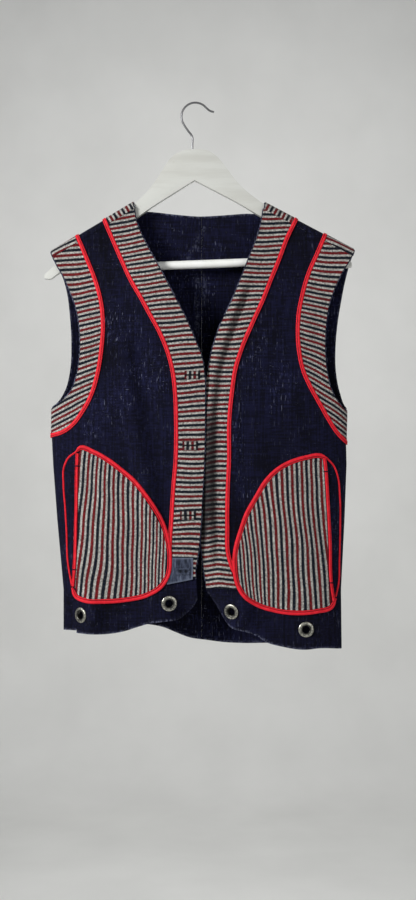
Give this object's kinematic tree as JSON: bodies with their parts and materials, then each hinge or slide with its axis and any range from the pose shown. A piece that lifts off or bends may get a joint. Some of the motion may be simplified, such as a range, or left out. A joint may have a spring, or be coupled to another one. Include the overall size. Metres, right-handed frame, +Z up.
{
  "type": "banded cotton vest on a wooden coat hanger",
  "caption": "Sleeveless indigo cotton vest with striped bands, red piping, patch pockets open at the side and eyelets in the hem, hung on a white hanger with a bar",
  "frame": {"origin": "inside top of the hanger's wire hook, where it hangs", "axes": "+Z up, along the vest's length; the fronts face -Y; +X is the viewer's right, which is the wearer's left"},
  "size_m": [0.4453, 0.0733, 0.7878],
  "materials": {
    "indigo_cotton": "matt, faded along its creases",
    "striped_cotton": "matt woven stripes in heather, maroon and navy",
    "red_bias": "matt folded bias tape",
    "pale_denim": "matt, worn",
    "white_wood": "satin white paint",
    "steel": "polished"
  },
  "bodies": {
    "root": {"front_right": "indigo_cotton", "back_right": "indigo_cotton", "neck_band_front_right": "striped_cotton", "neck_piping_front_right": "red_bias", "armhole_band_front_right": "striped_cotton", "armhole_piping_front_right": "red_bias", "hem_band_front_right": "indigo_cotton", "neck_band_back_right": "striped_cotton", "neck_piping_back_right": "red_bias", "armhole_band_back_right": "striped_cotton", "armhole_piping_back_right": "red_bias", "hem_band_back_right": "indigo_cotton", "pocket_right": "striped_cotton", "pocket_binding_right": "red_bias", "pocket_mouth_binding_right": "red_bias", "pocket_facing_right": "indigo_cotton", "pocket_outline_right": "red_bias", "eyelet_right_1": "steel", "eyelet_right_2": "steel", "front_left": "indigo_cotton", "back_left": "indigo_cotton", "neck_band_front_left": "striped_cotton", "neck_piping_front_left": "red_bias", "armhole_band_front_left": "striped_cotton", "armhole_piping_front_left": "red_bias", "hem_band_front_left": "indigo_cotton", "neck_band_back_left": "striped_cotton", "neck_piping_back_left": "red_bias", "armhole_band_back_left": "striped_cotton", "armhole_piping_back_left": "red_bias", "hem_band_back_left": "indigo_cotton", "pocket_left": "striped_cotton", "pocket_binding_left": "red_bias", "pocket_mouth_binding_left": "red_bias", "pocket_facing_left": "indigo_cotton", "pocket_outline_left": "red_bias", "eyelet_left_1": "steel", "eyelet_left_2": "steel", "denim_patch": "pale_denim", "buttonhole_1": "striped_cotton", "buttonhole_2": "striped_cotton", "buttonhole_3": "striped_cotton", "buttonhole_4": "pale_denim", "hanger": "white_wood", "hanger_bar": "white_wood", "hanger_hook": "steel"}
  },
  "joints": []
}
